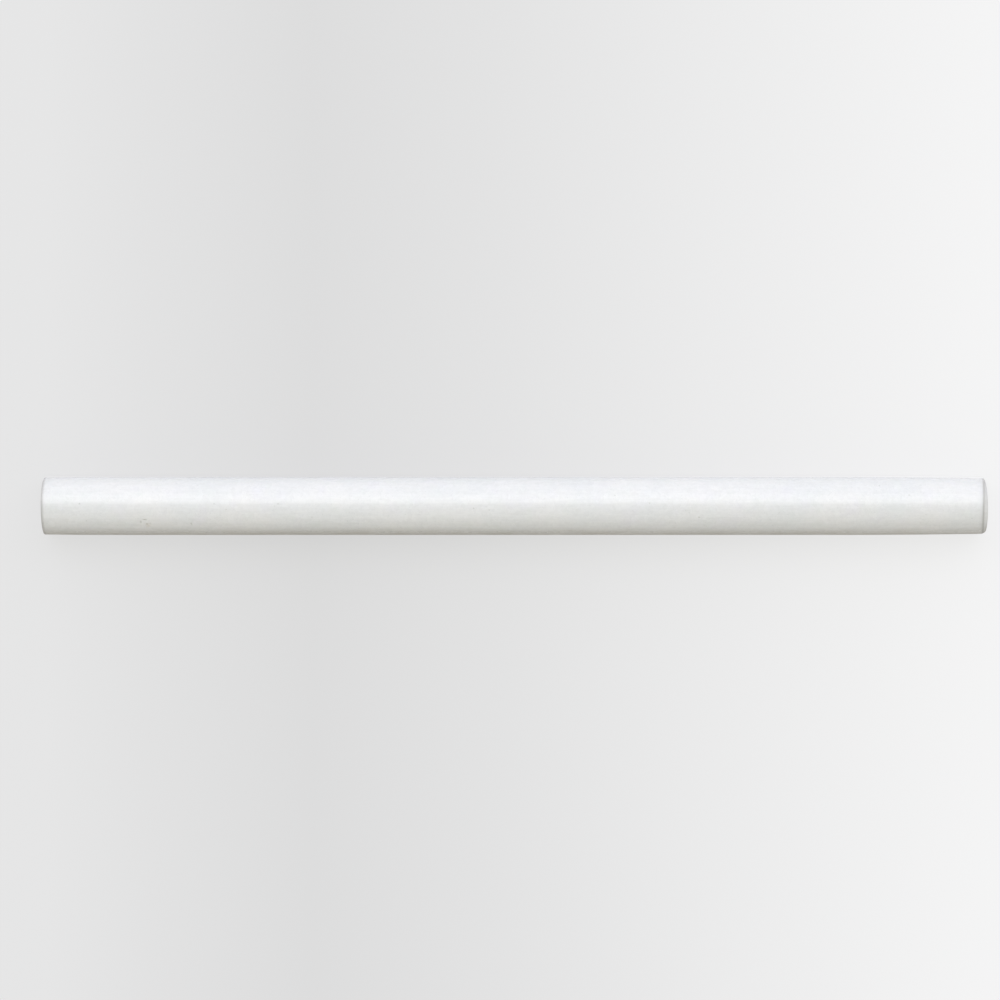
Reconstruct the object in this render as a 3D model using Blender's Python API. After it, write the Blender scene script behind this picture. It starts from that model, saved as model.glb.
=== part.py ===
"""A pencil liner: a slim trim tile worked from one strip of white marble.

Metres, +Z up. The strip lies on its sawn back with the dome up. The origin is the middle of the
back, X runs along the strip and Y across it. The two flat sides stand as deep as a 10 mm wall
tile, and the half-round face stands proud of it.
"""

import math

import bmesh
import bpy

# The strip
LENGTH = 0.305
WIDTH = 0.0188
THICKNESS = 0.019
BACK_CHAMFER = 0.0004
UPRIGHT = math.pi / 2

# The polishing heads drop off each end, so the face falls away a little there
LEFT_FALL_LENGTH = 0.026
LEFT_FALL_SIDE = 0.00015
LEFT_FALL_CROWN = 0.0001
RIGHT_FALL_LENGTH = 0.046
RIGHT_FALL_SIDE = 0.0004
RIGHT_FALL_CROWN = 0.00005

# The left end is sawn square, and its arris is rubbed to a small round
LEFT_ARRIS_RADIUS = 0.0005

# The right end has its arris ground off by hand, in a facet that is widest over the crown.
# The facet's inner edge and the sawn end lean a little, in opposite ways across the strip.
FACET_WIDTH_CROWN = 0.0015
FACET_WIDTH_SIDE = 0.0005
FACET_DROP_CROWN = 0.00085
FACET_DROP_SIDE = 0.0003
FACET_SKEW = 0.00015
END_SKEW = 0.0002

# Where the polish meets that facet, the edge rolls over
EDGE_ROLL_LENGTH = 0.0009
EDGE_ROLL_DEPTH = 0.00012

# How finely the round parts are divided
DOME_FACETS = 48
ARRIS_STEPS = 3
FALL_STEPS = 6
EDGE_ROLL_STEPS = 2

# The stone
STONE_COLOUR = (0.79, 0.80, 0.785, 1.0)
STONE_ROUGHNESS = 0.22
SMOOTH_BELOW = math.radians(24)


def clear_scene():
    """Takes away whatever the file holds, so that only the strip is left."""
    for thing in list(bpy.data.objects):
        bpy.data.objects.remove(thing)


def over_crown(side_value, crown_value, turn):
    """A size that grows from the sides to the crown. turn is how far the surface leans from straight up."""
    return side_value + (crown_value - side_value) * max(0.0, math.cos(turn))


def section(inset):
    """Points (turn, y, z) round the section, from one foot over the dome to the other.

    inset(turn) is how far the surface there lies inside the full section.
    """
    half_width = WIDTH / 2
    spring_line = THICKNESS - half_width
    foot = half_width - inset(UPRIGHT)
    points = [(UPRIGHT, foot - BACK_CHAMFER, 0.0), (UPRIGHT, foot, BACK_CHAMFER)]
    for step in range(DOME_FACETS + 1):
        turn = UPRIGHT - math.pi * step / DOME_FACETS
        radius = half_width - inset(turn)
        points.append((turn, radius * math.sin(turn), spring_line + radius * math.cos(turn)))
    points += [(-UPRIGHT, -foot, BACK_CHAMFER), (-UPRIGHT, BACK_CHAMFER - foot, 0.0)]
    return points


def ring(place, inset):
    """One section of the strip as points. place(turn) is its X."""
    return [(place(turn), y, z) for turn, y, z in section(inset)]


def left_rings():
    """The sections from the left end to where the face runs true."""

    def left_fall(turn):
        return over_crown(LEFT_FALL_SIDE, LEFT_FALL_CROWN, turn)

    rings = []
    for step in range(ARRIS_STEPS):
        angle = UPRIGHT * step / ARRIS_STEPS
        x = -LENGTH / 2 + LEFT_ARRIS_RADIUS * (1 - math.cos(angle))
        rubbed = LEFT_ARRIS_RADIUS * (1 - math.sin(angle))
        rings.append(ring(lambda turn: x, lambda turn: left_fall(turn) + rubbed))
    for step in range(FALL_STEPS + 1):
        share = step / FALL_STEPS
        x = -LENGTH / 2 + LEFT_ARRIS_RADIUS + (LEFT_FALL_LENGTH - LEFT_ARRIS_RADIUS) * share
        rings.append(ring(lambda turn: x, lambda turn: left_fall(turn) * (1 - share) ** 2))
    return rings


def right_fall(turn):
    """How far the polished face has fallen away where it meets the ground facet."""
    return over_crown(RIGHT_FALL_SIDE, RIGHT_FALL_CROWN, turn)


def facet_edge(turn):
    """The X where the polish ends and the ground facet begins."""
    width = over_crown(FACET_WIDTH_SIDE, FACET_WIDTH_CROWN, turn)
    return LENGTH / 2 - width + FACET_SKEW * math.sin(turn)


def right_rings():
    """The sections from where the face stops running true to the ground facet."""
    rings = []
    start = LENGTH / 2 - RIGHT_FALL_LENGTH
    for step in range(FALL_STEPS + 1):
        share = step / FALL_STEPS
        rings.append(
            ring(
                lambda turn: start + (facet_edge(turn) - EDGE_ROLL_LENGTH - start) * share,
                lambda turn: right_fall(turn) * share**2,
            )
        )
    for step in range(1, EDGE_ROLL_STEPS + 1):
        share = step / EDGE_ROLL_STEPS
        rings.append(
            ring(
                lambda turn: facet_edge(turn) - EDGE_ROLL_LENGTH * (1 - share),
                lambda turn: right_fall(turn) + EDGE_ROLL_DEPTH * share**2,
            )
        )
    return rings


def sawn_end():
    """The right end's sawn face, a flat one that leans by END_SKEW across the strip."""

    def depth(turn):
        return right_fall(turn) + EDGE_ROLL_DEPTH + over_crown(FACET_DROP_SIDE, FACET_DROP_CROWN, turn)

    foot = WIDTH / 2 - depth(UPRIGHT)
    return [(LENGTH / 2 - END_SKEW * (foot + y) / (2 * foot), y, z) for _, y, z in section(depth)]


def loft(rings):
    """A closed mesh through the rings, with the first and last of them as its end faces."""
    shape = bmesh.new()
    loops = [[shape.verts.new(point) for point in points] for points in rings]
    count = len(loops[0])
    for near, far in zip(loops, loops[1:]):
        for i in range(count):
            after = (i + 1) % count
            shape.faces.new((near[i], near[after], far[after], far[i]))
    shape.faces.new(loops[0])
    shape.faces.new(loops[-1])
    bmesh.ops.recalc_face_normals(shape, faces=shape.faces)
    mesh = bpy.data.meshes.new("pencil_liner")
    shape.to_mesh(mesh)
    shape.free()
    return mesh


def marble():
    """White marble with a hand-rubbed polish."""
    material = bpy.data.materials.new("marble")
    material.use_nodes = True
    shader = material.node_tree.nodes["Principled BSDF"]
    shader.inputs["Base Color"].default_value = STONE_COLOUR
    shader.inputs["Roughness"].default_value = STONE_ROUGHNESS
    shader.inputs["Metallic"].default_value = 0.0
    return material


def build_liner():
    """The strip: one solid from the left end face to the right one."""
    mesh = loft(left_rings() + right_rings() + [sawn_end()])
    mesh.materials.append(marble())
    mesh.shade_smooth()
    mesh.set_sharp_from_angle(angle=SMOOTH_BELOW)
    liner = bpy.data.objects.new("pencil_liner", mesh)
    bpy.context.scene.collection.objects.link(liner)
    return liner


clear_scene()
build_liner()
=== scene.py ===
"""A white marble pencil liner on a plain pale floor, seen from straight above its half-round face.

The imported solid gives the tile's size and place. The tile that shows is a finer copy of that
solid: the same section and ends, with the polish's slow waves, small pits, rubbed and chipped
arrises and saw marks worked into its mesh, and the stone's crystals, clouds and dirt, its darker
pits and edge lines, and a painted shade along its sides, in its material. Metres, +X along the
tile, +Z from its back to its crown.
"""

import math
import random

import bmesh
import bpy
import numpy as np
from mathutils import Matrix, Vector, noise


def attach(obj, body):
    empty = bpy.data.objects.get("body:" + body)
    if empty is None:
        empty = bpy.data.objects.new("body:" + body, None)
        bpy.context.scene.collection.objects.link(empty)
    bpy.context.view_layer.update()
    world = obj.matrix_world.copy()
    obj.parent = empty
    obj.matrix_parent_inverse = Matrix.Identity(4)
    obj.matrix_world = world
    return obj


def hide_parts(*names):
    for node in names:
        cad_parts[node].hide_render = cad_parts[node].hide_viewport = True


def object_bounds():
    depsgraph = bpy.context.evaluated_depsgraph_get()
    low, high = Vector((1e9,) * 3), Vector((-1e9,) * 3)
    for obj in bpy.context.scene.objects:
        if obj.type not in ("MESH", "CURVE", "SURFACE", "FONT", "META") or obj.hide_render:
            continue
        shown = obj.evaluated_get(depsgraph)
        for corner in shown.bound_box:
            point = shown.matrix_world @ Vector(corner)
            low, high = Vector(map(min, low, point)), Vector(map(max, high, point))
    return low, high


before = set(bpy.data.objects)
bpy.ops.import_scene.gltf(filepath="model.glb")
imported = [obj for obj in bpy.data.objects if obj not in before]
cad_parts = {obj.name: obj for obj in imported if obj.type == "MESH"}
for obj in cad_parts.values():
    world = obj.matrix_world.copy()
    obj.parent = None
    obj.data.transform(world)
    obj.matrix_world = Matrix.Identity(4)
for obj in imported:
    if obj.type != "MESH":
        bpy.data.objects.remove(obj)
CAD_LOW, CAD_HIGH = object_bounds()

MM = 0.001

# The strip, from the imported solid's box, and the round along its back's two edges
HALF_LENGTH = CAD_HIGH.x
HALF_WIDTH = CAD_HIGH.y
THICKNESS = CAD_HIGH.z
SPRING_LINE = THICKNESS - HALF_WIDTH
BACK_ROUND = 0.4 * MM

# How far the face falls away near each end, at the sides and over the crown
LEFT_FALL_LENGTH = 26 * MM
LEFT_FALL_SIDE = 0.15 * MM
LEFT_FALL_CROWN = 0.1 * MM
RIGHT_FALL_LENGTH = 46 * MM
RIGHT_FALL_SIDE = 0.4 * MM
RIGHT_FALL_CROWN = 0.05 * MM

# The rubbed arris of the left end, and how its radius wavers round the section
LEFT_ARRIS_RADIUS = 0.5 * MM
LEFT_ARRIS_STEPS = 5
LEFT_ARRIS_WAVER = 0.3
LEFT_ARRIS_WAVER_LENGTH = 2.2 * MM

# The ground facet of the right end, the polish that rolls over into it, and its outer arris
FACET_WIDTH_CROWN = 1.5 * MM
FACET_WIDTH_SIDE = 0.5 * MM
FACET_DROP_CROWN = 0.85 * MM
FACET_DROP_SIDE = 0.3 * MM
FACET_SKEW = 0.15 * MM
END_SKEW = 0.2 * MM
FACET_STEPS = 5
EDGE_ROLL_LENGTH = 0.9 * MM
EDGE_ROLL_DEPTH = 0.12 * MM
EDGE_ROLL_STEPS = 4
RIGHT_ARRIS_RADIUS = 0.1 * MM
RIGHT_ARRIS_STEPS = 3

# How the facet's inner edge wavers, and the length over which the mesh comes to lean with it
FACET_EDGE_WAVER = 0.03 * MM
FACET_EDGE_WAVER_LENGTH = 1.6 * MM
FACET_LEAN_LENGTH = 8 * MM

# How much of an end's rounding the back's own edge gets there, and the most that it may be
BACK_EDGE_SHARE = 0.35
BACK_EDGE_MOST = 0.22 * MM

# How finely the tile is divided, with the sizes of the rings inside its end faces
STATION_SPACING = 0.75 * MM
DOME_POINTS = 72
SIDE_POINTS = 10
BACK_ROUND_POINTS = 4
BACK_POINTS = 22
CAP_SHARES = (0.93, 0.84, 0.7, 0.52, 0.32, 0.12)
DENT_CUTS = 3
DENT_MARGIN = 0.45 * MM

# Edges that turn by more than this stay sharp
SHARP_ANGLE = math.radians(32)

# Slow waves that the polishing heads leave, in two sizes: the face sinks by POLISH_WAVE times a
# middle value and a swing to each side of it. They and the saw marks of the back die out over
# RELIEF_FADE before each end.
POLISH_WAVE = 0.02 * MM
POLISH_WAVE_LENGTH = 22 * MM
POLISH_WAVE_MIDDLE = 0.75
POLISH_WAVE_SWING = 0.5
SMALL_WAVE_LENGTH = 9 * MM
SMALL_WAVE_SHARE = 0.5
RELIEF_FADE = 3 * MM

# The ridges that the saw leaves on the back: nearly straight across it, bent a little by the
# blade's arc and by a slow drift
SAW_RIDGE = 0.035 * MM
SAW_RIDGE_LENGTH = 1.9 * MM
SAW_STRAIGHT_SHARE = 0.97
SAW_ARC_SHARE = 0.25
SAW_DRIFT = 2.4
SAW_DRIFT_LENGTH = 9 * MM
BLADE_RADIUS = 175 * MM
BLADE_MIDDLE_X = 20 * MM

# The arcs on the sawn ends, round the blade's middle, and how high up the thickness the middle
# point of an end face is
END_BLADE_Y = -60 * MM
END_BLADE_Z = -90 * MM
END_RIDGE_PER_RADIAN = 0.35 * MM
END_MIDDLE_SHARE = 0.47

# The bruise below the middle near the left end: a few small pits round a faint rusty spot.
# Each row is the place along the tile and across it as seen from above, the half lengths along
# and across, and the depth, in millimetres.
BRUISE_PITS = (
    (-120.4, -5.13, 0.28, 0.62, 0.11),
    (-119.1, -4.45, 0.75, 0.26, 0.13),
    (-117.4, -5.58, 0.20, 0.40, 0.07),
    (-118.5, -5.81, 0.36, 0.40, 0.12),
    (-116.8, -7.36, 0.26, 0.26, 0.07),
)
RUST_PLACE = (-118.1 * MM, -6.25 * MM, THICKNESS - 2.3 * MM)
RUST_RADIUS = 1.1 * MM
RUST_HEART = 0.1 * MM

# Single pits that stand out in the photo
SINGLE_PITS = (
    (-140.0, 0.67, 0.32, 0.30, 0.09),
    (-104.2, -5.68, 0.22, 0.50, 0.11),
    (-96.7, 0.67, 0.30, 0.24, 0.07),
    (-76.1, 0.67, 0.28, 0.26, 0.08),
    (-13.2, -0.75, 0.26, 0.26, 0.08),
    (59.3, -3.65, 0.34, 0.30, 0.11),
    (43.4, 0.85, 0.26, 0.26, 0.07),
)

# Smaller pits scattered over the face and the upper part of the sides. Radii and depths are in
# millimetres.
SCATTERED_PITS = 60
SCATTERED_REACH = 0.97
SCATTERED_SIDE_SHARE = 0.7
SCATTERED_RADII = (0.14, 0.26)
SCATTERED_STRETCHES = (0.8, 1.5)
SCATTERED_DEPTHS = (0.04, 0.09)

# The depth from which a pit is as dark as it gets, and how dark a chip is
DARKEST_PIT_DEPTH = 0.16 * MM
CHIP_DARKENING = 0.35

# Painted shade along the flat sides: a darker band that stands in for the shade on the side away
# from the softbox. On the -Y side it starts up on the dome, is full by the spring line and thins out
# towards the foot. On the +Y side a fainter darkening starts below the spring line.
PAINTED_SHADE_ABOVE = 7.3 * MM
PAINTED_SHADE_RISE = 4.8 * MM
PAINTED_SHADE_FADE = 1.5 * MM
PAINTED_SHADE_AT_FOOT = 0.3

# Chips along the back's two edges. The half lengths are in millimetres, the half widths are
# shares of them, and the depths are shares of the half widths.
BACK_CHIPS = 34
BACK_CHIP_REACH = 0.99
BACK_CHIP_LENGTHS = (0.4, 1.5)
BACK_CHIP_WIDTHS = (0.4, 0.7)
BACK_CHIP_DEPTHS = (0.3, 0.5)

# Chips at each end, on the lower part of its sides. The half lengths and the distances from the
# end are in millimetres, and the half widths and depths are shares of the half lengths.
END_CHIPS = 5
END_CHIP_SIDE_SHARE = 0.75
END_CHIP_LENGTHS = (0.25, 0.6)
END_CHIP_INSETS = (0.1, 0.3)
END_CHIP_WIDTHS = (1.2, 2.6)
END_CHIP_DEPTHS = (0.25, 0.4)

# The seed of all that is scattered, and how far each of the mesh's noises is shifted from the last
SEED = 41
NOISE_STEPS = (13.7, 7.3, 3.1)

# Where the front isn't polished: a strip of the left arris is sawn, and the ground facet is so in
# part, with a short fade into the polish. NO_RIDGE is the ridges' mask where there are none.
LEFT_SAWN_STRIP = 0.12 * MM
FACET_SAWN_SHARE = 0.7
FACET_SAWN_FADE = 0.08 * MM
NO_RIDGE = 0.5

# The darkening at the left end: a dark line round its arris, partly dirt and partly painted shade, and a
# faint darker spread from it
LEFT_BAND_WIDTH = 0.5 * MM
# The line's darkness is partly dirt and partly painted shade
LEFT_LINE_DIRT_AND_SHADE = 0.8
LEFT_LINE_FADE = 0.3 * MM
LEFT_SPREAD_DARKENING = 0.14
LEFT_SPREAD_FADE = 2.5 * MM

# The darkening at the right end, measured from the facet's inner edge: a dark line along that edge
# and a fainter darker spread into the polish. Then the dark line along the facet's outer edge, and
# the grime on the facet, with painted shade that makes the facet darker towards +Y.
FACET_LINE_FROM = -0.3 * MM
FACET_LINE_TO = 0.15 * MM
FACET_LINE_FADE = 0.15 * MM
FACET_SPREAD_DARKENING = 0.45
FACET_SPREAD_FROM = -0.4 * MM
FACET_SPREAD_FADE = 0.7 * MM
OUTER_LINE_DARKENING = 0.4
OUTER_LINE_WIDTH = 0.3 * MM
OUTER_LINE_FADE = 0.1 * MM
FACET_GRIME = 0.12
# Painted shade: how much darker the facet gets towards +Y, and how far that reaches
FACET_UPPER_SHADE = 0.3
FACET_SHADE_REACH = 0.3

# The stone's colours, and how much of each shows where its mask is full
PALE_STONE = (0.772, 0.784, 0.772, 1.0)
WARM_STONE = (0.803, 0.804, 0.786, 1.0)
GREEN_TINT = (0.755, 0.785, 0.750, 1.0)
LILAC_TINT = (0.780, 0.770, 0.798, 1.0)
TINT_SHARE = 0.35
SAWN_STONE = (0.76, 0.76, 0.735, 1.0)
SAWN_SHARE = 0.9
# The painted shade's colour along the sides, and how much of it shows where its mask is full
PAINTED_SHADE_COLOUR = (0.44, 0.40, 0.32, 1.0)
PAINTED_SHADE_SHARE = 0.7
PAINTED_SHADE_THIN_SHARE = 0.55
# The dark colour of the lines and grime at the ends, partly dirt and partly painted shade
EDGE_DIRT_AND_SHADE_COLOUR = (0.42, 0.41, 0.39, 1.0)
EDGE_DIRT_AND_SHADE_SHARE = 0.8
# The darker colour in the pits and chips, deeper pits darker
PIT_DARK_COLOUR = (0.30, 0.29, 0.25, 1.0)
PIT_DARK_SHARE = 0.62
RUST_COLOUR = (0.52, 0.43, 0.30, 1.0)
RUST_SHARE = 0.3
BLACK = (0.0, 0.0, 0.0, 1.0)

# The sizes of what shows in the stone
CLOUD = 16 * MM
GREEN_PATCH = 5.5 * MM
LILAC_PATCH = 7 * MM
LARGE_CRYSTAL = 1.1 * MM
SMALL_CRYSTAL = 0.5 * MM
SPECK = 0.42 * MM
STREAK = 0.7 * MM
HAIR_LINE = 0.8 * MM
PEEL = 0.55 * MM
DULL_PATCH = 3.2 * MM
PAINTED_SHADE_PATCH = 3 * MM
SUGAR = 0.38 * MM
SAWN_BLOTCH = 6 * MM
WORN_PATCH = 1.4 * MM
GRIT = 0.30 * MM
BLADE_ARC = 3.1 * MM
BLADE_LINE = 2.2 * MM

# How the patterns are turned, and how much they are drawn out along the tile: the smaller the
# first number, the longer
UNSTRETCHED = (1.0, 1.0, 1.0)
GREEN_TURN = (0.4, 0.2, 0.9)
LILAC_TURN = (1.4, 0.7, 0.1)
STREAK_STRETCH = (0.07, 1.0, 1.0)
DULL_STREAK_STRETCH = (0.05, 1.0, 1.0)
HAIR_LINE_STRETCH = (0.1, 1.0, 1.0)
PAINTED_SHADE_STRETCH = (0.3, 1.0, 1.0)

# The noise that bends the crystals' outlines: its size and its strength, in crystals
CRYSTAL_WARP_SIZE = 0.8
CRYSTAL_WARP = 0.6

# Which part of each noise's range counts: its whole spread, or only its peaks, which make patches
FULL_RANGE = (0.3, 0.7)
CLOUD_RANGE = (0.35, 0.65)
GREEN_RANGE = (0.52, 0.70)
LILAC_RANGE = (0.54, 0.72)
SPECK_RANGE = (0.65, 0.77)
DULL_RANGE = (0.45, 0.75)

# How much lighter or darker each pattern makes the stone
LARGE_CRYSTAL_LEVEL = 0.023
SMALL_CRYSTAL_LEVEL = 0.013
STREAK_LEVEL = 0.018
SPECK_LEVEL = 0.10
SUGAR_LEVELS = (0.93, 1.05)
BLOTCH_LEVEL = 0.03
RIDGE_LEVELS = (0.03, -0.04)
ARC_LEVEL = 0.012
SAWN_GRAIN_SHARE = 0.5

# How rough the polish and the sawn stone are, and what dull grains, darker pits and edges, and the
# painted shade add to the polish
POLISH_ROUGHNESS = (0.075, 0.095)
SAWN_ROUGHNESS = (0.58, 0.74)
DULL_ROUGHNESS = 0.04
CRYSTAL_ROUGHNESS = (-0.01, 0.02)
PIT_ROUGHNESS = 0.4
EDGE_ROUGHNESS = 0.2
PAINTED_SHADE_ROUGHNESS = 0.4

# The bump's depth, and how many times that each pattern stands out
BUMP = 0.004 * MM
PEEL_BUMPS = 0.8
HAIR_LINE_BUMPS = 0.7
CRYSTAL_BUMPS = 0.15
GRIT_BUMPS = 9.0
BLADE_BUMPS = 3.0

# How the stone takes the light
STONE_IOR = 1.6
STONE_SCATTER = 0.15
STONE_SCATTER_TINT = (1.0, 0.95, 0.85)
STONE_SCATTER_DEPTH = 1.2 * MM

# The camera, straight above. Its sensor and lens are in millimetres.
CAMERA_X = -4.7 * MM
CAMERA_Y = 1.95 * MM
CAMERA_ABOVE_SPRING_LINE = 1.10
PIXELS_PER_METRE = 3083
PICTURE_PIXELS = 1000
SENSOR = 36.0

# The softbox, in two panels: how far off the zenith its edges and its seam stand, on the +Y side
SOFTBOX_NEAR_EDGE = math.radians(10.6)
SOFTBOX_SEAM = math.radians(29)
SOFTBOX_FAR_EDGE = math.radians(48)
SOFTBOX_DISTANCE = 2.2
SOFTBOX_LENGTH = 4.4
SOFTBOX_NEAR_RADIANCE = 0.858
SOFTBOX_FAR_RADIANCE = 0.771
SOFTBOX_NEAR_COLOUR = (0.99, 1.0, 0.97)
SOFTBOX_FAR_COLOUR = (0.895, 0.92, 1.0)

# The room's own light, by how far towards +Y one looks, from -1 to 1
SKY_STOPS = (
    (-1.0, (0.65, 0.62, 0.58)),
    (-0.8, (0.79, 0.76, 0.71)),
    (-0.68, (0.80, 0.78, 0.72)),
    (-0.3, (0.43, 0.43, 0.385)),
    (0.0, (0.64, 0.645, 0.645)),
    (0.5, (1.375, 1.375, 1.46)),
    (1.0, (1.05, 1.05, 1.16)),
)
SKY_STRENGTH = 1.0

# The floor's grey along X, in metres
FLOOR_STOPS = (
    (-0.153, 0.791),
    (-0.119, 0.761),
    (-0.066, 0.724),
    (-0.005, 0.768),
    (0.063, 0.831),
    (0.120, 0.880),
    (0.154, 0.908),
)
FLOOR_SIZE = 8.0
FLOOR_HEIGHT = -0.05 * MM
FLOOR_ROUGHNESS = 0.9

# The share of that grey that the lamps light, as the camera sees it, as the stone mirrors it and
# as it lights the stone. In the first two the rest is glow. Then how light the lamps make white.
FLOOR_LIT_SHARE = 0.18
FLOOR_REFLECTED_LIT_SHARE = 0.7
FLOOR_BOUNCE_SHARE = 0.42
WHITE_UNDER_LAMPS = 1.03


# The section and the stations

SIDE_LENGTH = SPRING_LINE - BACK_ROUND
DOME_LENGTH = math.pi * HALF_WIDTH
ROUND_LENGTH = math.pi / 2 * BACK_ROUND
BACK_LENGTH = 2 * (HALF_WIDTH - BACK_ROUND)
DOME_START = SIDE_LENGTH
DOME_END = DOME_START + DOME_LENGTH
LOWER_SIDE_END = DOME_END + SIDE_LENGTH
BACK_START = LOWER_SIDE_END + ROUND_LENGTH
BACK_END = BACK_START + BACK_LENGTH
OUTLINE_LENGTH = BACK_END + ROUND_LENGTH
MID_BACK = BACK_START + BACK_LENGTH / 2


def outline_places():
    """Places round the section, as lengths along it from the foot of the +Y side, over the dome.

    The list starts and ends in the middle of the back, so its first places are below 0.
    """
    parts = (
        (MID_BACK - OUTLINE_LENGTH, BACK_END - OUTLINE_LENGTH, BACK_POINTS // 2),
        (BACK_END - OUTLINE_LENGTH, 0.0, BACK_ROUND_POINTS),
        (0.0, DOME_START, SIDE_POINTS),
        (DOME_START, DOME_END, DOME_POINTS),
        (DOME_END, LOWER_SIDE_END, SIDE_POINTS),
        (LOWER_SIDE_END, BACK_START, BACK_ROUND_POINTS),
        (BACK_START, MID_BACK, BACK_POINTS // 2),
    )
    return np.concatenate([np.linspace(a, b, count, endpoint=False) for a, b, count in parts])


def section_frame(w):
    """For places w: y and z on the full section and the outward normal's y and z there."""
    w = w % OUTLINE_LENGTH
    dome_turn = math.pi / 2 - (w - DOME_START) / HALF_WIDTH
    lower_turn = -math.pi / 2 - (w - LOWER_SIDE_END) / BACK_ROUND
    upper_turn = math.pi - (w - BACK_END) / BACK_ROUND
    zones = [
        w < DOME_START,
        w < DOME_END,
        w < LOWER_SIDE_END,
        w < BACK_START,
        w < BACK_END,
        w >= BACK_END,
    ]
    turn = np.select(
        zones,
        [math.pi / 2, dome_turn, -math.pi / 2, lower_turn, math.pi, upper_turn],
    )
    inner = HALF_WIDTH - BACK_ROUND
    y = np.select(
        zones,
        [
            HALF_WIDTH + 0 * w,
            HALF_WIDTH * np.sin(turn),
            -HALF_WIDTH + 0 * w,
            -inner + BACK_ROUND * np.sin(turn),
            -inner + (w - BACK_START),
            inner + BACK_ROUND * np.sin(turn),
        ],
    )
    z = np.select(
        zones,
        [
            BACK_ROUND + w,
            SPRING_LINE + HALF_WIDTH * np.cos(turn),
            SPRING_LINE - (w - DOME_END),
            BACK_ROUND + BACK_ROUND * np.cos(turn),
            0 * w,
            BACK_ROUND + BACK_ROUND * np.cos(turn),
        ],
    )
    return y, z, np.sin(turn), np.cos(turn)


def inset_section(w, inset, rise):
    """The section drawn in by inset, with its flat back raised by rise: y, z and the normal."""
    y, z, normal_y, normal_z = section_frame(w)
    below = w % OUTLINE_LENGTH > LOWER_SIDE_END
    squeezed = y * (1 - inset / HALF_WIDTH)
    raised = z + rise * (1 - np.minimum(z / BACK_ROUND, 1))
    y = np.where(below, squeezed, y - inset * normal_y)
    z = np.where(below, raised, z - inset * normal_z)
    return y, z, normal_y, normal_z


def crown_share(w):
    """1 over the crown, falling to 0 at the spring lines and on the sides."""
    turn = (w - DOME_START) / HALF_WIDTH - math.pi / 2
    return np.where((w > DOME_START) & (w < DOME_END), np.cos(turn), 0.0)


def between(side_value, crown_value, w):
    """A size that grows from the sides to the crown."""
    return side_value + (crown_value - side_value) * crown_share(w)


def facet_edge(w):
    """The X where the polish ends and the ground facet begins, a little out of square."""
    _, _, normal_y, _ = section_frame(w)
    return HALF_LENGTH - between(FACET_WIDTH_SIDE, FACET_WIDTH_CROWN, w) + FACET_SKEW * normal_y


def sawn_end(w):
    """The X of the right end's sawn face, which leans a little the other way."""
    y, _, _, _ = section_frame(w)
    return HALF_LENGTH - END_SKEW * (1 + y / HALF_WIDTH) / 2


def on_back(w):
    """1 on the flat back."""
    w = w % OUTLINE_LENGTH
    return np.where((w > BACK_START) & (w < BACK_END), 1.0, 0.0)


def fall(x, w):
    """How far the face has fallen away near the ends."""
    left = np.clip((-HALF_LENGTH + LEFT_FALL_LENGTH - x) / LEFT_FALL_LENGTH, 0, 1) ** 2
    right = np.clip((x - HALF_LENGTH + RIGHT_FALL_LENGTH) / RIGHT_FALL_LENGTH, 0, 1) ** 2
    depth = left * between(LEFT_FALL_SIDE, LEFT_FALL_CROWN, w)
    return depth + right * between(RIGHT_FALL_SIDE, RIGHT_FALL_CROWN, w)


def noise_over(points, length, seed):
    """Smooth noise from about -1 to 1 at each of the points, with features of that length."""
    shift = Vector([seed * step for step in NOISE_STEPS])
    return np.array([noise.noise(Vector(p) / length + shift) for p in points])


def left_arris(places):
    """The stations of the rubbed left arris, from the end face to the face of the tile."""
    y, z, _, _ = section_frame(places)
    waver = noise_over(np.column_stack((0 * y, y, z)), LEFT_ARRIS_WAVER_LENGTH, seed=3)
    radius = LEFT_ARRIS_RADIUS * (1 + LEFT_ARRIS_WAVER * waver)
    stations = []
    for step in range(LEFT_ARRIS_STEPS + 1):
        angle = math.pi / 2 * step / LEFT_ARRIS_STEPS
        x = -HALF_LENGTH + radius * (1 - math.cos(angle))
        stations.append((x, radius * (1 - math.sin(angle))))
    return stations


def body(places):
    """The stations between the two ends' edges."""
    start = -HALF_LENGTH + 2 * LEFT_ARRIS_RADIUS
    end = HALF_LENGTH - FACET_WIDTH_CROWN - EDGE_ROLL_LENGTH - STATION_SPACING
    count = int((end - start) / STATION_SPACING)
    last = facet_edge(places) - EDGE_ROLL_LENGTH
    stations = []
    for x in np.linspace(start, end, count):
        near_end = np.clip((x - HALF_LENGTH + FACET_LEAN_LENGTH) / FACET_LEAN_LENGTH, 0, 1)
        reach = (last - STATION_SPACING - end) * near_end
        stations.append((x + reach, 0 * places))
    return stations


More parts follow.
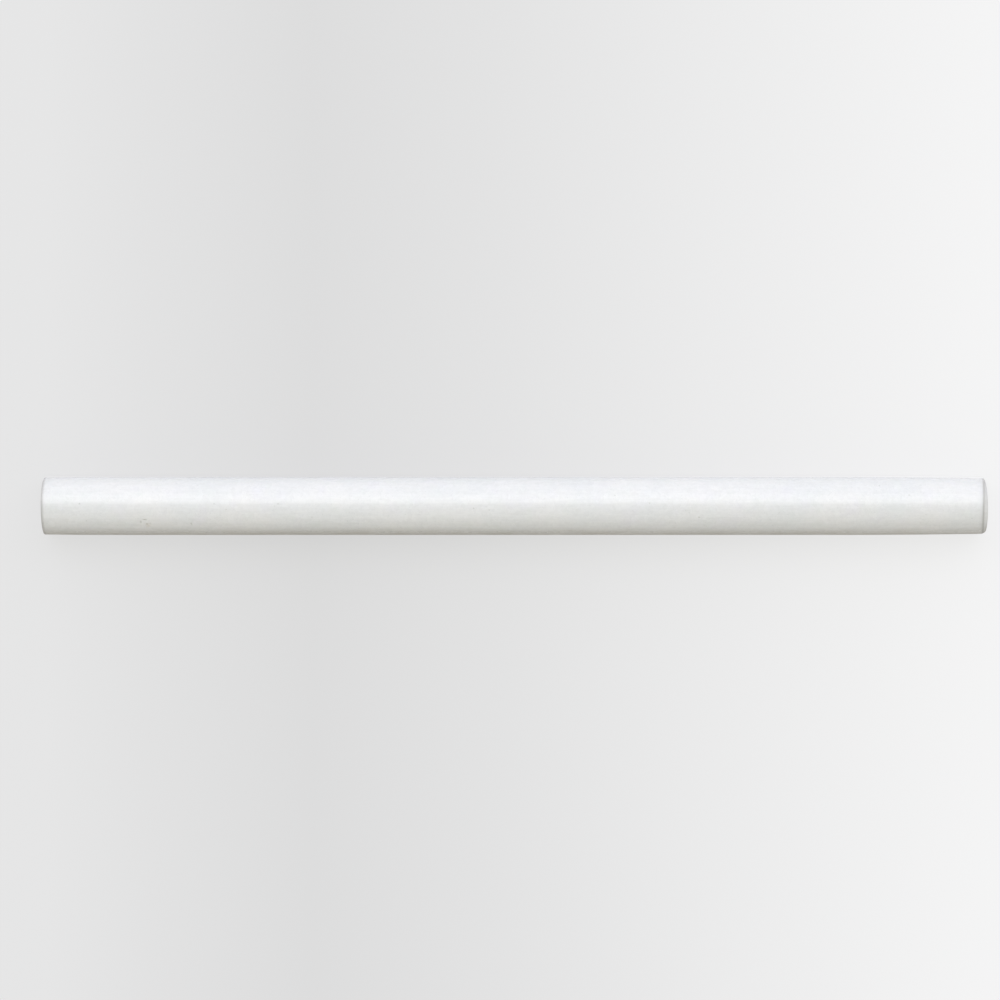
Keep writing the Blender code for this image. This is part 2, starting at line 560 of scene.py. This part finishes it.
def right_end(places):
    """The stations of the rolled edge, the ground facet and the right end's outer arris."""
    y, z, _, _ = section_frame(places)
    waver = noise_over(np.column_stack((0 * y, y, z)), FACET_EDGE_WAVER_LENGTH, seed=8)
    drop = between(FACET_DROP_SIDE, FACET_DROP_CROWN, places)
    edge = facet_edge(places) + FACET_EDGE_WAVER * waver
    stations = []
    for step in range(EDGE_ROLL_STEPS + 1):
        share = step / EDGE_ROLL_STEPS
        stations.append((edge - EDGE_ROLL_LENGTH * (1 - share), EDGE_ROLL_DEPTH * share**2))
    slope_end = sawn_end(places) - RIGHT_ARRIS_RADIUS
    for step in range(1, FACET_STEPS + 1):
        share = step / FACET_STEPS
        stations.append((edge + (slope_end - edge) * share, EDGE_ROLL_DEPTH + drop * share))
    for step in range(1, RIGHT_ARRIS_STEPS + 1):
        angle = math.pi / 2 * step / RIGHT_ARRIS_STEPS
        x = slope_end + RIGHT_ARRIS_RADIUS * math.sin(angle)
        sunk = RIGHT_ARRIS_RADIUS * (1 - math.cos(angle))
        stations.append((x, EDGE_ROLL_DEPTH + drop + sunk))
    return stations


def dome_place(across):
    """The place round the section that shows at this distance across the tile from above."""
    return DOME_START + HALF_WIDTH * (math.pi / 2 - math.asin(across / HALF_WIDTH))


def placed_pits():
    """The pits that the photo shows."""
    return [
        (x * MM, dome_place(y * MM), along * MM, across * MM, depth * MM, "pit")
        for x, y, along, across, depth in BRUISE_PITS + SINGLE_PITS
    ]


def scattered_pits(draw):
    """The smaller pits."""
    lowest = SIDE_LENGTH * (1 - SCATTERED_SIDE_SHARE)
    highest = DOME_END + SIDE_LENGTH * SCATTERED_SIDE_SHARE
    found = []
    for _ in range(SCATTERED_PITS):
        x = draw.uniform(-SCATTERED_REACH, SCATTERED_REACH) * HALF_LENGTH
        place = draw.uniform(lowest, highest)
        radius = draw.uniform(*SCATTERED_RADII) * MM
        stretch = draw.uniform(*SCATTERED_STRETCHES)
        depth = draw.uniform(*SCATTERED_DEPTHS) * MM
        found.append((x, place, radius * stretch, radius, depth, "pit"))
    return found


def back_chips(draw):
    """The chips along the back's edges, on one and the other by turns."""
    found = []
    for number in range(BACK_CHIPS):
        x = draw.uniform(-BACK_CHIP_REACH, BACK_CHIP_REACH) * HALF_LENGTH
        corner = LOWER_SIDE_END + ROUND_LENGTH / 2 if number % 2 else -ROUND_LENGTH / 2
        along = draw.uniform(*BACK_CHIP_LENGTHS) * MM
        across = along * draw.uniform(*BACK_CHIP_WIDTHS)
        depth = across * draw.uniform(*BACK_CHIP_DEPTHS)
        found.append((x, corner, along, across, depth, "back chip"))
    return found


def end_chips(draw):
    """The chips at the ends, on one and the other by turns."""
    feet = (0.0, DOME_END + SIDE_LENGTH * (1 - END_CHIP_SIDE_SHARE))
    found = []
    for number in range(2 * END_CHIPS):
        end = -1 if number % 2 else 1
        place = draw.choice(feet) + draw.uniform(0.0, END_CHIP_SIDE_SHARE) * SIDE_LENGTH
        along = draw.uniform(*END_CHIP_LENGTHS) * MM
        x = end * (HALF_LENGTH - draw.uniform(*END_CHIP_INSETS) * MM)
        across = along * draw.uniform(*END_CHIP_WIDTHS)
        depth = along * draw.uniform(*END_CHIP_DEPTHS)
        found.append((x, place, along, across, depth, "end chip"))
    return found


def dents():
    """Every pit and chip as (x, place, radius along, radius across, depth, kind)."""
    draw = random.Random(SEED)
    return placed_pits() + scattered_pits(draw) + back_chips(draw) + end_chips(draw)


# The tile's mesh


def lay_stations(shape, places):
    """The lofted skin, with each vertex's own x, inset and place kept in layers of the mesh."""
    layer_x = shape.verts.layers.float.new("station_x")
    layer_inset = shape.verts.layers.float.new("station_inset")
    layer_place = shape.verts.layers.float.new("place")
    stations = left_arris(places) + body(places) + right_end(places)
    loops = []
    for x, inset in stations:
        xs = x + 0 * places
        insets = inset + 0 * places
        loop = []
        for i, place in enumerate(places):
            vert = shape.verts.new((xs[i], 0.0, 0.0))
            vert[layer_x] = xs[i]
            vert[layer_inset] = insets[i]
            vert[layer_place] = place
            loop.append(vert)
        loops.append(loop)
    count = len(places)
    for near, far in zip(loops, loops[1:]):
        for i in range(count):
            after = (i + 1) % count
            shape.faces.new((near[i], near[after], far[after], far[i]))


def end_loop(shape, end):
    """The open ring of vertices at one end of the skin, in order round the section."""
    layer_x = shape.verts.layers.float["station_x"]
    layer_place = shape.verts.layers.float["place"]
    rim = {vert for edge in shape.edges if edge.is_boundary for vert in edge.verts}
    return sorted((v for v in rim if v[layer_x] * end > 0), key=lambda v: v[layer_place])


def refine_at(shape, spots):
    """Divides the faces round each pit and chip, so that the mesh can hold it."""
    layer_x = shape.verts.layers.float["station_x"]
    layer_place = shape.verts.layers.float["place"]
    edges = set()
    faces = list(shape.faces)
    corners = np.array([[(v[layer_x], v[layer_place]) for v in face.verts] for face in faces])
    middles = corners.mean(axis=1)
    over_seam = np.ptp(corners[:, :, 1], axis=1) > OUTLINE_LENGTH / 2
    middles[over_seam, 1] = MID_BACK
    for x, place, along, across, _, _ in spots:
        near_x = np.abs(middles[:, 0] - x) < along + DENT_MARGIN
        near_place = np.abs(middles[:, 1] - place) < across + DENT_MARGIN
        for index in np.flatnonzero(near_x & near_place):
            edges.update(faces[index].edges)
    bmesh.ops.subdivide_edges(
        shape, edges=sorted(edges, key=lambda e: e.index), cuts=DENT_CUTS, use_grid_fill=True
    )


def vertex_layers(shape):
    """Arrays of every vertex's station x, inset and place."""
    names = ("station_x", "station_inset", "place")
    layers = [shape.verts.layers.float[name] for name in names]
    table = np.array([[vert[layer] for layer in layers] for vert in shape.verts])
    return table[:, 0], table[:, 1], table[:, 2]


def saw_ridges(x, y):
    """How high the saw's ridges on the back are at each point, from 0 to 1."""
    reach = np.hypot(x - BLADE_MIDDLE_X, y + BLADE_RADIUS)
    drift = noise_over(np.column_stack((x, y, 0 * x)), SAW_DRIFT_LENGTH, seed=5)
    along = x * SAW_STRAIGHT_SHARE + reach * SAW_ARC_SHARE
    return 0.5 + 0.5 * np.sin(2 * math.pi * along / SAW_RIDGE_LENGTH + SAW_DRIFT * drift)


def dent_depths(x, place, spots):
    """How deep each vertex sinks inward and towards the tile's middle, and its share of pit or chip."""
    inward, cornerwise, pit, chip = np.zeros((4, len(x)))
    for spot_x, spot_place, along, across, deep, kind in spots:
        reach = np.hypot((x - spot_x) / along, (place - spot_place) / across)
        share = np.clip(1 - reach**2, 0, 1)
        if kind == "back chip":
            cornerwise = np.maximum(cornerwise, deep * share)
        else:
            inward = np.maximum(inward, deep * share)
        if kind == "pit":
            pit = np.maximum(pit, np.sqrt(share) * min(1.0, deep / DARKEST_PIT_DEPTH))
        else:
            chip = np.maximum(chip, np.sqrt(share))
    return inward, cornerwise, pit, chip


def place_vertices(shape, spots):
    """Moves every vertex of the skin to its place, and returns what its masks are made from."""
    x, inset, place = vertex_layers(shape)
    rise = np.minimum(BACK_EDGE_SHARE * inset, BACK_EDGE_MOST)
    y, z, normal_y, normal_z = inset_section(place, inset + fall(x, place), rise)
    points = np.column_stack((x, y, z))
    wave = noise_over(points, POLISH_WAVE_LENGTH, seed=1)
    wave = wave + SMALL_WAVE_SHARE * noise_over(points, SMALL_WAVE_LENGTH, seed=2)
    polish = POLISH_WAVE * (POLISH_WAVE_MIDDLE + POLISH_WAVE_SWING * wave)
    back = on_back(place)
    ridges = saw_ridges(x, y)
    relief = np.where(back > 0.5, SAW_RIDGE * ridges, np.clip(polish, 0, None))
    relief = relief * np.clip((HALF_LENGTH - np.abs(x)) / RELIEF_FADE, 0, 1)
    inward, cornerwise, pit, chip = dent_depths(x, place, spots)
    inward = inward + relief
    cornerwise = cornerwise * math.sqrt(0.5)
    y = y - inward * normal_y - cornerwise * np.sign(y)
    z = z - inward * normal_z + cornerwise
    for vert, point in zip(shape.verts, np.column_stack((x, y, z))):
        vert.co = point
    return {"place": place, "x": x, "pit": pit, "chip": chip, "back": back, "ridges": ridges}


def close_end(shape, loop, end, middle_x):
    """The sawn end face inside the last ring, as smaller rings round a middle point."""
    middle = Vector((0.0, 0.0, THICKNESS * END_MIDDLE_SHARE))
    rings = [loop]
    for share in CAP_SHARES:
        ring = []
        for vert in loop:
            around = Vector((0.0, vert.co.y, vert.co.z)) - middle
            point = middle + around * share
            reach = math.hypot(point.y - END_BLADE_Y, point.z - END_BLADE_Z)
            ridge = 0.5 + 0.5 * math.sin(reach / END_RIDGE_PER_RADIAN)
            sunk = SAW_RIDGE * ridge * (1 - share)
            x = middle_x + (vert.co.x - middle_x) * share
            ring.append(shape.verts.new((x - end * sunk, point.y, point.z)))
        rings.append(ring)
    centre = shape.verts.new((middle_x - end * SAW_RIDGE / 2, middle.y, middle.z))
    for outer, inner in zip(rings, rings[1:]):
        for i in range(len(outer)):
            after = (i + 1) % len(outer)
            corners = (outer[i], inner[i], inner[after], outer[after])
            shape.faces.new(corners if end > 0 else corners[::-1])
    last = rings[-1]
    for i in range(len(last)):
        after = (i + 1) % len(last)
        corners = (last[i], centre, last[after])
        shape.faces.new(corners if end > 0 else corners[::-1])


def band(value, low, high, soft):
    """1 between low and high, falling to 0 over soft on each side."""
    return np.clip((value - low) / soft + 1, 0, 1) * np.clip((high - value) / soft + 1, 0, 1)


def painted_side_shade(place):
    """How much painted shade darkens the face at each place round the section, from 0 to 1."""
    rise = np.clip((place - DOME_END + PAINTED_SHADE_ABOVE) / PAINTED_SHADE_RISE, 0, 1)
    down = np.clip((place - DOME_END) / SIDE_LENGTH, 0, 1)
    lower = rise * (1 - (1 - PAINTED_SHADE_AT_FOOT) * down)
    upper = PAINTED_SHADE_AT_FOOT * np.clip((DOME_START - place) / PAINTED_SHADE_FADE, 0, 1)
    return np.maximum(lower, upper)


def left_dirt_and_shade(x):
    """The dark line round the left arris, partly dirt and partly painted shade, and the faint darker
    spread from it.
    """
    start, end = -HALF_LENGTH - LEFT_BAND_WIDTH, -HALF_LENGTH + LEFT_BAND_WIDTH
    line = LEFT_LINE_DIRT_AND_SHADE * band(x, start, end, LEFT_LINE_FADE)
    spread = LEFT_SPREAD_DARKENING * band(x, start, end, LEFT_SPREAD_FADE)
    return np.maximum(line, spread)


def facet_dirt_and_shade(x, place, facet):
    """The dark lines along the facet's two edges, the darker spread into the polish, and the grime
    between, with painted shade that is stronger towards +Y.
    """
    beyond = x - facet_edge(place)
    line = band(beyond, FACET_LINE_FROM, FACET_LINE_TO, FACET_LINE_FADE)
    spread = FACET_SPREAD_DARKENING * band(beyond, FACET_SPREAD_FROM, 0.0, FACET_SPREAD_FADE)
    outer = OUTER_LINE_DARKENING * band(x - sawn_end(place), -OUTER_LINE_WIDTH, 0.0, OUTER_LINE_FADE)
    upper = np.clip(section_frame(place)[2] + FACET_SHADE_REACH, 0, 1)
    # The facet's grime, with painted shade that makes it darker towards +Y
    grime_and_shade = facet * (FACET_GRIME + FACET_UPPER_SHADE * upper)
    return np.maximum.reduce([line, spread, outer, grime_and_shade])


def masks(table, count):
    """The mesh's masks for its material, one number for each vertex.

    The vertices inside the two end faces come after the skin's, and are sawn and clean.
    """
    x, place, back, chip = (table[name] for name in ("x", "place", "back", "chip"))
    skin = len(x)
    front = 1 - back
    facet = np.clip((x - facet_edge(place)) / FACET_SAWN_FADE + 1, 0, 1)
    rubbed = np.maximum.reduce([back, FACET_SAWN_SHARE * facet, chip])
    sawn = np.ones(count)
    sawn[:skin] = np.where(x < -HALF_LENGTH + LEFT_SAWN_STRIP, 1.0, rubbed)
    edge = np.zeros(count)
    edge[:skin] = np.maximum(left_dirt_and_shade(x), facet_dirt_and_shade(x, place, facet)) * front
    pit = np.zeros(count)
    pit[:skin] = np.maximum(table["pit"], CHIP_DARKENING * chip)
    painted_shade = np.zeros(count)
    # Painted shade along the sides, darkest on the -Y side
    painted_shade[:skin] = painted_side_shade(place) * front
    ridges = np.full(count, NO_RIDGE)
    ridges[:skin] = np.where(back > 0.5, table["ridges"], NO_RIDGE)
    return {"sawn": sawn, "edge": edge, "pit": pit, "painted_shade": painted_shade, "ridges": ridges}


def build_tile():
    """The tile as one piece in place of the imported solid."""
    places = outline_places()
    spots = dents()
    shape = bmesh.new()
    lay_stations(shape, places)
    shape.verts.index_update()
    shape.edges.index_update()
    refine_at(shape, spots)
    shape.verts.ensure_lookup_table()
    table = place_vertices(shape, spots)
    left_loop, right_loop = end_loop(shape, -1), end_loop(shape, 1)
    close_end(shape, left_loop, -1, -HALF_LENGTH)
    close_end(shape, right_loop, 1, HALF_LENGTH - END_SKEW / 2)
    bmesh.ops.recalc_face_normals(shape, faces=shape.faces)
    mesh = bpy.data.meshes.new("marble_liner")
    shape.to_mesh(mesh)
    shape.free()
    for name, values in masks(table, len(mesh.vertices)).items():
        attribute = mesh.attributes.new(name, "FLOAT", "POINT")
        attribute.data.foreach_set("value", values.astype(np.float32))
    for name in ("station_x", "station_inset", "place"):
        mesh.attributes.remove(mesh.attributes[name])
    mesh.shade_smooth()
    mesh.set_sharp_from_angle(angle=SHARP_ANGLE)
    tile = bpy.data.objects.new("marble_liner", mesh)
    bpy.context.scene.collection.objects.link(tile)
    mesh.materials.append(marble())
    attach(tile, "root")
    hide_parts("pencil_liner")


# The stone


class Nodes:
    """A material's nodes, made and linked in short calls."""

    def __init__(self, tree):
        self.tree = tree

    def add(self, kind, values=None, **settings):
        """A node with its settings, and its inputs set or linked by name or number."""
        node = self.tree.nodes.new(kind)
        for name, value in settings.items():
            setattr(node, name, value)
        for key, value in (values or {}).items():
            self.feed(node.inputs[key], value)
        return node

    def feed(self, socket, value):
        if isinstance(value, bpy.types.NodeSocket):
            self.tree.links.new(value, socket)
        else:
            socket.default_value = value

    def maths(self, operation, a, b):
        return self.add("ShaderNodeMath", {0: a, 1: b}, operation=operation).outputs[0]

    def blend(self, share, a, b):
        """A number between a and b."""
        values = {"Factor": share, "A": a, "B": b}
        return self.add("ShaderNodeMix", values, data_type="FLOAT").outputs[0]

    def mix(self, share, a, b, blend="MIX"):
        """A colour between a and b, or a and b put together in the way that blend names."""
        node = self.add("ShaderNodeMix", data_type="RGBA", blend_type=blend)
        self.feed(node.inputs["Factor"], share)
        self.feed(node.inputs[6], a)
        self.feed(node.inputs[7], b)
        return node.outputs[2]

    def remap(self, value, low, high, to_low, to_high):
        values = {"Value": value, "From Min": low, "From Max": high, "To Min": to_low, "To Max": to_high}
        return self.add("ShaderNodeMapRange", values).outputs["Result"]

    def noise(self, vector, size, detail=2.0, roughness=0.5):
        """Noise with features of that size in metres."""
        values = {"Vector": vector, "Scale": 1 / size, "Detail": detail, "Roughness": roughness}
        return self.add("ShaderNodeTexNoise", values).outputs["Fac"]

    def stretched(self, vector, scale, turn=(0.0, 0.0, 0.0)):
        node = self.add("ShaderNodeMapping", {"Vector": vector, "Scale": scale, "Rotation": turn})
        return node.outputs["Vector"]

    def attribute(self, name):
        return self.add("ShaderNodeAttribute", attribute_name=name).outputs["Fac"]

    def grey(self, level):
        return self.add("ShaderNodeCombineColor", {0: level, 1: level, 2: level}).outputs[0]

    def ramp(self, share, stops):
        """A colour ramp through (share, colour) stops."""
        node = self.add("ShaderNodeValToRGB", {"Fac": share})
        elements = node.color_ramp.elements
        while len(elements) < len(stops):
            elements.new(0.5)
        for element, (position, colour) in zip(elements, stops):
            element.position = position
            element.color = (*colour, 1.0)
        return node.outputs["Color"]


def crystals(n, place, size):
    """One random grey for each crystal of the stone, from 0 to 1."""
    values = {"Vector": place, "Scale": 1 / (size * CRYSTAL_WARP_SIZE), "Detail": 1.0}
    warp = n.add("ShaderNodeTexNoise", values)
    moved = n.add(
        "ShaderNodeVectorMath",
        {0: warp.outputs["Color"], 1: (size * CRYSTAL_WARP,) * 3, 2: place},
        operation="MULTIPLY_ADD",
    )
    cells = n.add("ShaderNodeTexVoronoi", {"Vector": moved.outputs[0], "Scale": 1 / size})
    return n.add("ShaderNodeSeparateColor", {"Color": cells.outputs["Color"]}).outputs[0]


def clouded_stone(n, place):
    """White stone with faint warm clouds and fainter green and lilac patches."""
    clouds = n.noise(place, CLOUD, detail=3.0, roughness=0.55)
    colour = n.mix(n.remap(clouds, *CLOUD_RANGE, 0.0, 1.0), PALE_STONE, WARM_STONE)
    green = n.noise(n.stretched(place, UNSTRETCHED, GREEN_TURN), GREEN_PATCH)
    colour = n.mix(n.remap(green, *GREEN_RANGE, 0.0, TINT_SHARE), colour, GREEN_TINT)
    lilac = n.noise(n.stretched(place, UNSTRETCHED, LILAC_TURN), LILAC_PATCH)
    return n.mix(n.remap(lilac, *LILAC_RANGE, 0.0, TINT_SHARE), colour, LILAC_TINT)


def grain_level(n, place, large):
    """How light the grain is: two sizes of crystals, fine streaks along the tile and dark specks."""
    small = crystals(n, place, SMALL_CRYSTAL)
    streak = n.noise(n.stretched(place, STREAK_STRETCH), STREAK, detail=3.0, roughness=0.6)
    speck = n.noise(place, SPECK, detail=1.0, roughness=0.6)
    grain = n.maths(
        "ADD",
        n.remap(large, 0.0, 1.0, -LARGE_CRYSTAL_LEVEL, LARGE_CRYSTAL_LEVEL),
        n.remap(small, 0.0, 1.0, -SMALL_CRYSTAL_LEVEL, SMALL_CRYSTAL_LEVEL),
    )
    grain = n.maths("ADD", grain, n.remap(streak, *FULL_RANGE, -STREAK_LEVEL, STREAK_LEVEL))
    dark = n.remap(speck, *SPECK_RANGE, 0.0, SPECK_LEVEL)
    return n.maths("SUBTRACT", n.maths("ADD", 1.0, grain), dark)


def sawn_colour(n, place, ridges, grey):
    """Sawn stone: paler and chalky, its crystals bruised white, with faint lines from the blade."""
    sugar = n.noise(place, SUGAR, detail=3.0, roughness=0.7)
    blotch = n.noise(place, SAWN_BLOTCH, detail=3.0, roughness=0.6)
    arcs = n.add(
        "ShaderNodeTexWave",
        {"Vector": place, "Scale": 1 / BLADE_ARC, "Distortion": 3.0, "Detail": 2.0, "Detail Scale": 0.4},
        bands_direction="DIAGONAL",
    ).outputs["Fac"]
    level = n.remap(sugar, *FULL_RANGE, *SUGAR_LEVELS)
    level = n.maths("ADD", level, n.remap(blotch, *CLOUD_RANGE, -BLOTCH_LEVEL, BLOTCH_LEVEL))
    level = n.maths("ADD", level, n.remap(ridges, 0.0, 1.0, *RIDGE_LEVELS))
    level = n.maths("ADD", level, n.remap(arcs, 0.0, 1.0, -ARC_LEVEL, ARC_LEVEL))
    colour = n.mix(1.0, SAWN_STONE, n.grey(level), "MULTIPLY")
    return n.mix(SAWN_GRAIN_SHARE, colour, n.mix(1.0, colour, grey, "MULTIPLY"))


def rust_share(n, place):
    """How much rust shows, by how near the middle of its spot is."""
    values = {0: place, 1: RUST_PLACE}
    distance = n.add("ShaderNodeVectorMath", values, operation="DISTANCE").outputs["Value"]
    return n.remap(distance, RUST_HEART, RUST_RADIUS, RUST_SHARE, 0.0)


def stone_colour(n, place, sawn, edge, pit, painted_shade, ridges, grain):
    """The stone's colour, polished or sawn, with its dirt, its darker pits and edge lines, the painted
    shade along its sides and ends, and its rusty spot.
    """
    grey = n.grey(grain_level(n, place, grain))
    colour = n.mix(1.0, clouded_stone(n, place), grey, "MULTIPLY")
    colour = n.mix(n.maths("MULTIPLY", sawn, SAWN_SHARE), colour, sawn_colour(n, place, ridges, grey))
    # Painted shade along the sides, darkest on the -Y side
    colour = n.mix(n.maths("MULTIPLY", painted_shade, PAINTED_SHADE_SHARE), colour, PAINTED_SHADE_COLOUR)
    # Dark lines and grime at the ends, partly dirt and partly painted shade
    colour = n.mix(n.maths("MULTIPLY", edge, EDGE_DIRT_AND_SHADE_SHARE), colour, EDGE_DIRT_AND_SHADE_COLOUR)
    colour = n.mix(n.maths("MULTIPLY", pit, PIT_DARK_SHARE), colour, PIT_DARK_COLOUR)
    return n.mix(rust_share(n, place), colour, RUST_COLOUR)


def stone_roughness(n, place, sawn, edge, pit, painted_shade, grain):
    """Polish with dull grains and streaks, and dull sawn stone."""
    streaks = n.noise(n.stretched(place, DULL_STREAK_STRETCH), STREAK, detail=3.0, roughness=0.6)
    dull = n.noise(place, DULL_PATCH, detail=4.0, roughness=0.65)
    value = n.remap(streaks, *FULL_RANGE, *POLISH_ROUGHNESS)
    value = n.maths("ADD", value, n.remap(dull, *DULL_RANGE, 0.0, DULL_ROUGHNESS))
    value = n.maths("ADD", value, n.remap(grain, 0.0, 1.0, *CRYSTAL_ROUGHNESS))
    value = n.maths("ADD", value, n.maths("MULTIPLY", pit, PIT_ROUGHNESS))
    value = n.maths("ADD", value, n.maths("MULTIPLY", edge, EDGE_ROUGHNESS))
    value = n.maths("ADD", value, n.maths("MULTIPLY", painted_shade, PAINTED_SHADE_ROUGHNESS))
    worn = n.noise(place, WORN_PATCH, detail=3.0, roughness=0.6)
    return n.blend(sawn, value, n.remap(worn, *FULL_RANGE, *SAWN_ROUGHNESS))


def stone_relief(n, place, sawn, grain):
    """The normal: crystals and hair lines in the polish, grit and blade lines where it is sawn."""
    peel = n.noise(place, PEEL)
    lines = n.noise(n.stretched(place, HAIR_LINE_STRETCH), HAIR_LINE)
    polish = n.maths("MULTIPLY", peel, PEEL_BUMPS)
    polish = n.maths("ADD", polish, n.maths("MULTIPLY", lines, HAIR_LINE_BUMPS))
    polish = n.maths("ADD", polish, n.maths("MULTIPLY", grain, CRYSTAL_BUMPS))
    grit = n.noise(place, GRIT, detail=4.0, roughness=0.7)
    blade = n.add(
        "ShaderNodeTexWave",
        {"Vector": place, "Scale": 1 / BLADE_LINE, "Distortion": 2.5, "Detail": 3.0, "Detail Scale": 0.6},
        bands_direction="DIAGONAL",
    ).outputs["Fac"]
    rough = n.maths("ADD", n.maths("MULTIPLY", grit, GRIT_BUMPS), n.maths("MULTIPLY", blade, BLADE_BUMPS))
    height = n.blend(sawn, polish, rough)
    values = {"Height": height, "Distance": BUMP, "Strength": 1.0}
    return n.add("ShaderNodeBump", values).outputs["Normal"]


def marble():
    """The tile's one material, polished or sawn as its masks say."""
    material = bpy.data.materials.new("white_marble")
    material.use_nodes = True
    n = Nodes(material.node_tree)
    shader = material.node_tree.nodes["Principled BSDF"]
    place = n.add("ShaderNodeTexCoord").outputs["Object"]
    names = ("sawn", "edge", "pit", "painted_shade", "ridges")
    sawn, edge, pit, painted_shade, ridges = (n.attribute(name) for name in names)
    # The painted shade along the sides, broken into patches
    patches = n.noise(n.stretched(place, PAINTED_SHADE_STRETCH), PAINTED_SHADE_PATCH, detail=3.0, roughness=0.6)
    painted_shade = n.maths("MULTIPLY", painted_shade, n.remap(patches, *FULL_RANGE, PAINTED_SHADE_THIN_SHARE, 1.0))
    grain = crystals(n, place, LARGE_CRYSTAL)
    colour = stone_colour(n, place, sawn, edge, pit, painted_shade, ridges, grain)
    n.feed(shader.inputs["Base Color"], colour)
    n.feed(shader.inputs["Roughness"], stone_roughness(n, place, sawn, edge, pit, painted_shade, grain))
    n.feed(shader.inputs["Normal"], stone_relief(n, place, sawn, grain))
    shader.inputs["IOR"].default_value = STONE_IOR
    shader.inputs["Subsurface Weight"].default_value = STONE_SCATTER
    shader.inputs["Subsurface Radius"].default_value = STONE_SCATTER_TINT
    shader.inputs["Subsurface Scale"].default_value = STONE_SCATTER_DEPTH
    return material


# The studio


def by_ray(n, camera, reflected, diffuse):
    """One value for camera rays, one for reflected and refracted ones, and one for the rest."""
    path = n.add("ShaderNodeLightPath")
    mirrored = n.maths("MAXIMUM", path.outputs["Is Glossy Ray"], path.outputs["Is Transmission Ray"])
    rest = n.remap(mirrored, 0.0, 1.0, diffuse, reflected)
    return n.blend(path.outputs["Is Camera Ray"], rest, camera)


def build_floor():
    """A plain pale floor whose grey runs slowly from left to right."""
    bpy.ops.mesh.primitive_plane_add(size=FLOOR_SIZE, location=(0.0, 0.0, FLOOR_HEIGHT))
    floor = bpy.context.object
    floor.name = "floor"
    material = bpy.data.materials.new("floor_paper")
    material.use_nodes = True
    n = Nodes(material.node_tree)
    place = n.add("ShaderNodeTexCoord").outputs["Object"]
    along = n.add("ShaderNodeSeparateXYZ", {0: place}).outputs[0]
    low, high = FLOOR_STOPS[0][0], FLOOR_STOPS[-1][0]
    stops = [((x - low) / (high - low), (grey,) * 3) for x, grey in FLOOR_STOPS]
    paper = n.ramp(n.remap(along, low, high, 0.0, 1.0), stops)
    shader = material.node_tree.nodes["Principled BSDF"]
    lit = by_ray(n, FLOOR_LIT_SHARE, FLOOR_REFLECTED_LIT_SHARE, FLOOR_BOUNCE_SHARE)
    lit = n.maths("DIVIDE", lit, WHITE_UNDER_LAMPS)
    glow = by_ray(n, 1 - FLOOR_LIT_SHARE, 1 - FLOOR_REFLECTED_LIT_SHARE, 0.0)
    n.feed(shader.inputs["Base Color"], n.mix(lit, BLACK, paper))
    n.feed(shader.inputs["Emission Color"], paper)
    n.feed(shader.inputs["Emission Strength"], glow)
    shader.inputs["Roughness"].default_value = FLOOR_ROUGHNESS
    shader.inputs["Specular IOR Level"].default_value = 0.0
    floor.data.materials.append(material)


def build_panel(name, near, far, radiance, colour):
    """One long panel of the softbox, between two angles off the zenith."""
    middle = (near + far) / 2
    half_angle = (far - near) / 2
    lamp = bpy.data.lights.new(name, "AREA")
    lamp.shape = "RECTANGLE"
    lamp.size = SOFTBOX_LENGTH
    lamp.size_y = 2 * SOFTBOX_DISTANCE * math.tan(half_angle)
    lamp.energy = radiance * math.pi * lamp.size * lamp.size_y
    lamp.color = colour
    softbox = bpy.data.objects.new(name, lamp)
    softbox.location = (
        0.0,
        SOFTBOX_DISTANCE * math.sin(middle),
        THICKNESS + SOFTBOX_DISTANCE * math.cos(middle),
    )
    softbox.rotation_euler = (-middle, 0.0, 0.0)
    softbox.visible_camera = False
    bpy.context.scene.collection.objects.link(softbox)


def build_softbox():
    """A long softbox on the +Y side, whose near edge ends its reflection along the dome.

    Its near panel is a little warmer than its far one.
    """
    build_panel(
        "softbox_near", SOFTBOX_NEAR_EDGE, SOFTBOX_SEAM, SOFTBOX_NEAR_RADIANCE, SOFTBOX_NEAR_COLOUR
    )
    build_panel("softbox_far", SOFTBOX_SEAM, SOFTBOX_FAR_EDGE, SOFTBOX_FAR_RADIANCE, SOFTBOX_FAR_COLOUR)


def build_room():
    """The room's soft light: cool and bright on the softbox's side, dimmer and warm on the other."""
    world = bpy.data.worlds.new("room")
    bpy.context.scene.world = world
    world.use_nodes = True
    n = Nodes(world.node_tree)
    direction = n.add("ShaderNodeTexCoord").outputs["Generated"]
    across = n.add("ShaderNodeSeparateXYZ", {0: direction}).outputs[1]
    stops = [((y + 1) / 2, colour) for y, colour in SKY_STOPS]
    background = world.node_tree.nodes["Background"]
    n.feed(background.inputs["Color"], n.ramp(n.remap(across, -1.0, 1.0, 0.0, 1.0), stops))
    background.inputs["Strength"].default_value = SKY_STRENGTH


def build_camera():
    """A camera that looks straight down on the tile."""
    data = bpy.data.cameras.new("camera")
    data.sensor_width = SENSOR
    data.lens = SENSOR * PIXELS_PER_METRE * CAMERA_ABOVE_SPRING_LINE / PICTURE_PIXELS
    camera = bpy.data.objects.new("camera", data)
    camera.location = (CAMERA_X, CAMERA_Y, SPRING_LINE + CAMERA_ABOVE_SPRING_LINE)
    bpy.context.scene.collection.objects.link(camera)
    bpy.context.scene.camera = camera


build_tile()
build_floor()
build_softbox()
build_room()
build_camera()
bpy.context.scene.view_settings.view_transform = "Standard"
